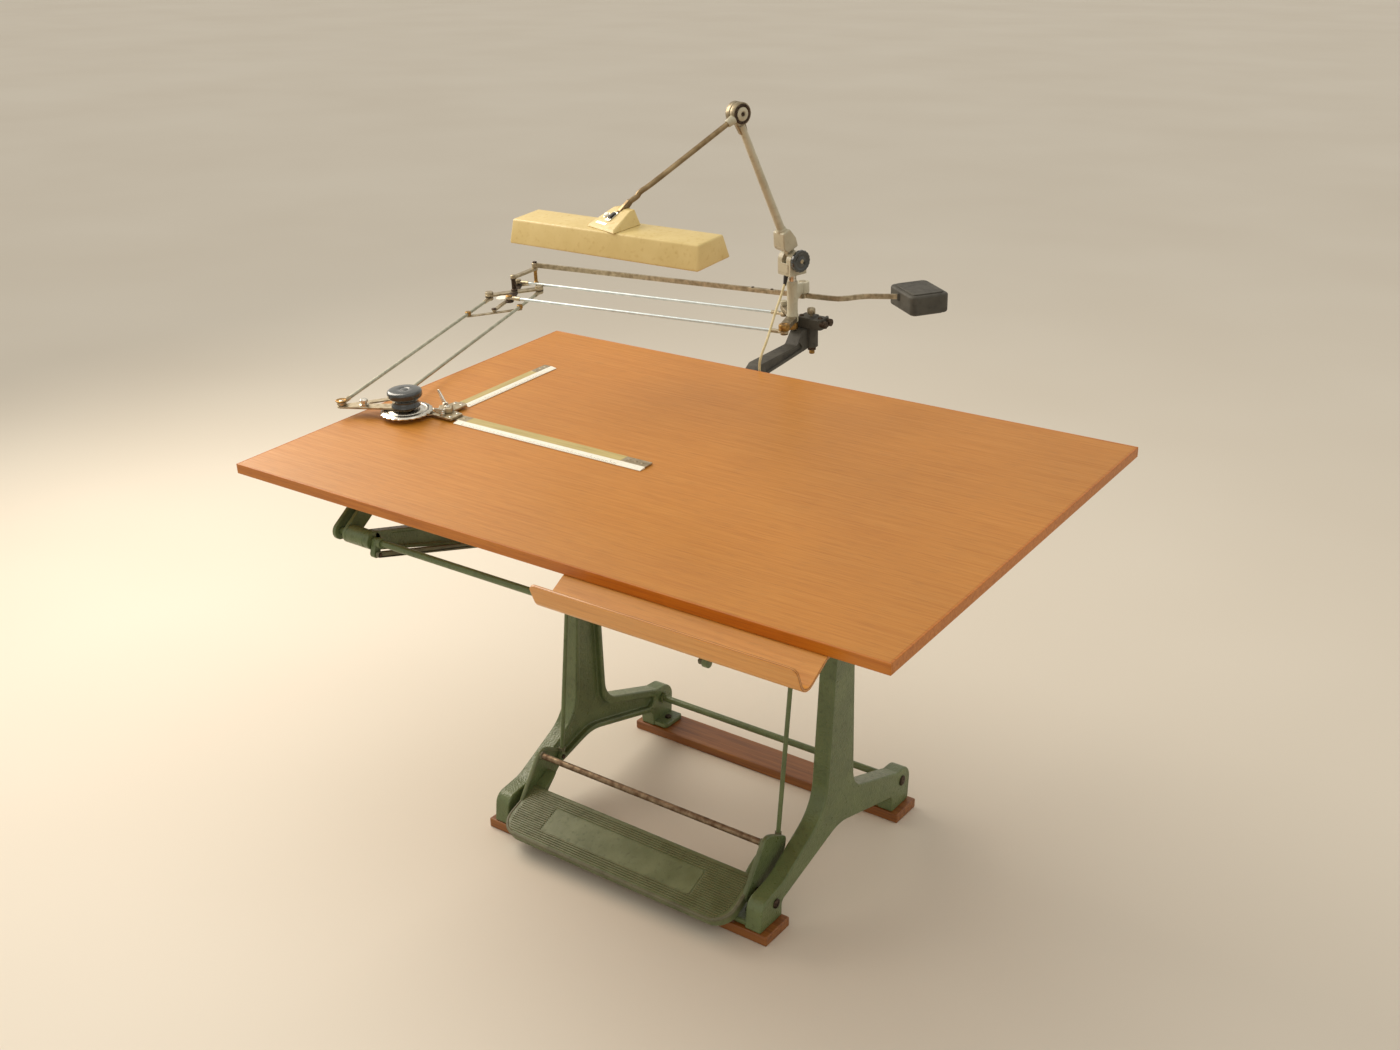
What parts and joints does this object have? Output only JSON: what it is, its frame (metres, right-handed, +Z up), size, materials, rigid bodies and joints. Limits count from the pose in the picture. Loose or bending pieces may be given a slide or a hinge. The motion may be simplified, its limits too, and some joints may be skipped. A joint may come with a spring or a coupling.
{
  "type": "drafting table",
  "caption": "Drawing board on a pedal-locked stand that lifts and tilts it, with a pen tray, a parallelogram drafting machine and a jointed lamp clamped behind it.",
  "frame": {"origin": "on the floor, under the middle of the front sole beam", "axes": "+X to the user's right along the board, +Y to the back, +Z up"},
  "size_m": [1.783, 1.6098, 1.5034],
  "materials": {
    "green": "grey-green hammer paint",
    "worn": "worn, tarnished steel",
    "beam": "brown varnished timber",
    "veneer": "orange-brown varnished board",
    "ply": "varnished beech plywood",
    "iron": "dark grey paint",
    "cream": "grey-cream enamel",
    "alloy": "satin tube",
    "tarnish": "tarnished nickel",
    "chrome": "polished",
    "bakelite": "black bakelite",
    "boxwood": "boxwood with white edge",
    "mustard": "mustard-cream enamel",
    "glass": "white tube",
    "cable": "cream cord"
  },
  "bodies": {
    "stand": {"frame_left": "green", "frame_right": "green", "sole_front": "beam", "sole_rear": "beam", "tie_rod": "green"},
    "pedal": {"treadle": "green", "treadle_bar": "worn"},
    "pull_left": {"pull_rod_left": "green"},
    "pull_right": {"pull_rod_right": "green"},
    "brake_left": {"brake_lever_left": "green"},
    "brake_right": {"brake_lever_right": "green"},
    "lift": {"lift_lever_left": "green", "lift_lever_right": "green", "lift_shaft": "green", "counterweight_bar": "green"},
    "link_left": {"level_link_left": "green"},
    "link_right": {"level_link_right": "green"},
    "tilt_rod": {"cross_rod": "green"},
    "board": {"board_panel": "veneer", "tilt_fork_left": "green", "tilt_fork_right": "green", "pen_tray": "ply", "tray_bracket": "worn", "machine_bracket": "iron", "clamp_block": "iron", "head_casting": "cream", "cord_spool": "bakelite", "cord_coil": "cable", "lamp_cord": "cable", "lamp_plug": "bakelite"},
    "clamp_screw": {"clamp_screw": "tarnish"},
    "upper_front": {"upper_rod_front": "alloy"},
    "upper_rear": {"upper_rod_rear": "alloy"},
    "balance": {"balance_bar": "tarnish", "machine_counterweight": "iron"},
    "elbow": {"elbow_frame": "tarnish"},
    "lower_front": {"lower_rod_front": "alloy"},
    "lower_rear": {"lower_rod_rear": "alloy"},
    "elbow_link": {"elbow_link": "tarnish"},
    "crossbar": {"elbow_crossbar": "tarnish"},
    "head": {"head_bracket": "tarnish", "protractor_disc": "chrome"},
    "rotor": {"hand_knob": "bakelite", "scale_carrier": "tarnish", "scale_long": "boxwood", "scale_short": "boxwood"},
    "index_lever": {"index_lever": "chrome"},
    "lock_lever": {"lock_lever": "chrome"},
    "lamp_foot": {"lamp_base": "cream"},
    "lamp_knob": {"lamp_knob": "bakelite"},
    "lamp_lower": {"lamp_lower_arm": "cream"},
    "lamp_upper": {"lamp_upper_arm": "cream"},
    "saddle": {"lamp_saddle": "cream"},
    "shade": {"lamp_shade": "mustard", "lamp_tube": "glass"},
    "switch": {"lamp_switch": "bakelite"}
  },
  "joints": [
    {"name": "pedal", "type": "hinge", "parent": "stand", "child": "pedal", "pos_m": [0, 0.023, 0.064], "axis": [1, 0, 0], "range_deg": [0, 7]},
    {"name": "pull_rod_left", "type": "hinge", "parent": "pedal", "child": "pull_left", "pos_m": [-0.2885, 0.117, 0.13], "axis": [1, 0, 0], "range_deg": [-9, 1]},
    {"name": "brake_left", "type": "hinge", "parent": "stand", "child": "brake_left", "pos_m": [0, 0.26, 0.62], "axis": [1, 0, 0], "range_deg": [-7, 1]},
    {"name": "pull_rod_right", "type": "hinge", "parent": "pedal", "child": "pull_right", "pos_m": [0.2885, 0.117, 0.13], "axis": [1, 0, 0], "range_deg": [-9, 1]},
    {"name": "brake_right", "type": "hinge", "parent": "stand", "child": "brake_right", "pos_m": [0, 0.26, 0.62], "axis": [1, 0, 0], "range_deg": [-7, 1]},
    {"name": "lift", "type": "hinge", "parent": "stand", "child": "lift", "pos_m": [0, 0.26, 0.62], "axis": [-1, 0, 0], "range_deg": [-4, 34]},
    {"name": "level_link_left", "type": "hinge", "parent": "stand", "child": "link_left", "pos_m": [0, 0.25389, 0.59731], "axis": [-1, 0, 0], "range_deg": [-4, 34]},
    {"name": "level_link_right", "type": "hinge", "parent": "stand", "child": "link_right", "pos_m": [0, 0.25389, 0.59731], "axis": [-1, 0, 0], "range_deg": [-4, 34]},
    {"name": "tilt_rod", "type": "hinge", "parent": "lift", "child": "tilt_rod", "pos_m": [0, -0.278, 0.765], "axis": [-1, 0, 0], "range_deg": [-34, 4]},
    {"name": "board_tilt", "type": "hinge", "parent": "tilt_rod", "child": "board", "pos_m": [0, -0.278, 0.765], "axis": [1, 0, 0], "range_deg": [-3, 72]},
    {"name": "clamp_screw", "type": "hinge", "parent": "board", "child": "clamp_screw", "pos_m": [-0.165, 0.94066, 0.99069], "axis": [0, -0.0558, 0.9984], "continuous": true},
    {"name": "upper_arm", "type": "hinge", "parent": "board", "child": "upper_front", "pos_m": [-0.173, 0.83364, 0.97018], "axis": [0, -0.0558, 0.9984], "range_deg": [-50, 20]},
    {"name": "upper_rod", "type": "hinge", "parent": "board", "child": "upper_rear", "pos_m": [-0.252, 0.95645, 0.97705], "axis": [0, -0.0558, 0.9984], "range_deg": [-50, 20]},
    {"name": "balance_bar", "type": "hinge", "parent": "board", "child": "balance", "pos_m": [-0.223, 0.99315, 1.01916], "axis": [0, -0.0558, 0.9984], "range_deg": [-50, 20]},
    {"name": "elbow", "type": "hinge", "parent": "upper_front", "child": "elbow", "pos_m": [-0.939, 0.72281, 0.96398], "axis": [0, -0.0558, 0.9984], "range_deg": [-20, 50]},
    {"name": "lower_arm", "type": "hinge", "parent": "elbow", "child": "lower_front", "pos_m": [-1.022, 0.73779, 0.94679], "axis": [0, -0.0558, 0.9984], "range_deg": [-30, 45]},
    {"name": "lower_rod", "type": "hinge", "parent": "elbow", "child": "lower_rear", "pos_m": [-0.946, 0.84862, 0.95299], "axis": [0, -0.0558, 0.9984], "range_deg": [-30, 45]},
    {"name": "elbow_link", "type": "hinge", "parent": "elbow", "child": "elbow_link", "pos_m": [-0.984, 0.79321, 0.94989], "axis": [0, -0.0558, 0.9984], "range_deg": [-30, 45]},
    {"name": "crossbar", "type": "hinge", "parent": "lower_front", "child": "crossbar", "pos_m": [-0.97874, 0.61109, 0.933], "axis": [0, -0.0558, 0.9984], "range_deg": [-45, 30]},
    {"name": "head_keep", "type": "hinge", "parent": "lower_front", "child": "head", "pos_m": [-0.7675, -0.00974, 0.905], "axis": [0, -0.0558, 0.9984], "range_deg": [-45, 30]},
    {"name": "protractor", "type": "hinge", "parent": "head", "child": "rotor", "pos_m": [-0.642, 0.06042, 0.88088], "axis": [0, -0.0558, 0.9984], "range_deg": [-50, 50]},
    {"name": "index_lever", "type": "hinge", "parent": "rotor", "child": "index_lever", "pos_m": [-0.5626, 0.08762, 0.89171], "axis": [0, -0.0558, 0.9984], "range_deg": [-15, 15]},
    {"name": "lock_lever", "type": "hinge", "parent": "rotor", "child": "lock_lever", "pos_m": [-0.59409, 0.12893, 0.89402], "axis": [0, -0.0558, 0.9984], "range_deg": [-15, 15]},
    {"name": "lamp_swivel", "type": "hinge", "parent": "board", "child": "lamp_foot", "pos_m": [-0.195, 0.89582, 1.1299], "axis": [0, -0.0558, 0.9984], "range_deg": [-100, 100]},
    {"name": "lamp_knob", "type": "hinge", "parent": "lamp_foot", "child": "lamp_knob", "pos_m": [-0.17319, 0.8892, 1.12953], "axis": [0.9568, -0.2902, -0.0162], "continuous": true},
    {"name": "lamp_lower", "type": "hinge", "parent": "lamp_foot", "child": "lamp_lower", "pos_m": [-0.195, 0.89582, 1.1299], "axis": [0.9568, -0.2902, -0.0162], "range_deg": [-30, 22]},
    {"name": "lamp_elbow", "type": "hinge", "parent": "lamp_lower", "child": "lamp_upper", "pos_m": [-0.23948, 0.72978, 1.47717], "axis": [0.9568, -0.2902, -0.0162], "range_deg": [-40, 30]},
    {"name": "shade_tilt", "type": "hinge", "parent": "lamp_upper", "child": "saddle", "pos_m": [-0.33337, 0.43026, 1.29817], "axis": [0.9568, -0.2902, -0.0162], "range_deg": [-25, 25]},
    {"name": "shade_turn", "type": "hinge", "parent": "saddle", "child": "shade", "pos_m": [-0.3397, 0.41104, 1.26904], "axis": [-0.0132, -0.0991, 0.995], "range_deg": [-60, 60]},
    {"name": "lamp_switch", "type": "hinge", "parent": "saddle", "child": "switch", "pos_m": [-0.34204, 0.40899, 1.29063], "axis": [0.9568, -0.2902, -0.0162], "range_deg": [-6, 6]}
  ],
  "couplings": [
    {"joint": "pull_rod_left", "follows": "pedal", "ratio": -1.1274},
    {"joint": "brake_left", "follows": "pedal", "ratio": -0.8606},
    {"joint": "level_link_left", "follows": "lift", "ratio": 1},
    {"joint": "pull_rod_right", "follows": "pedal", "ratio": -1.1274},
    {"joint": "brake_right", "follows": "pedal", "ratio": -0.8606},
    {"joint": "level_link_right", "follows": "lift", "ratio": 1},
    {"joint": "tilt_rod", "follows": "lift", "ratio": -1},
    {"joint": "upper_rod", "follows": "upper_arm", "ratio": 1},
    {"joint": "balance_bar", "follows": "upper_arm", "ratio": 1},
    {"joint": "elbow", "follows": "upper_arm", "ratio": -1},
    {"joint": "lower_rod", "follows": "lower_arm", "ratio": 1},
    {"joint": "elbow_link", "follows": "lower_arm", "ratio": 1},
    {"joint": "crossbar", "follows": "lower_arm", "ratio": -1},
    {"joint": "head_keep", "follows": "lower_arm", "ratio": -1}
  ]
}
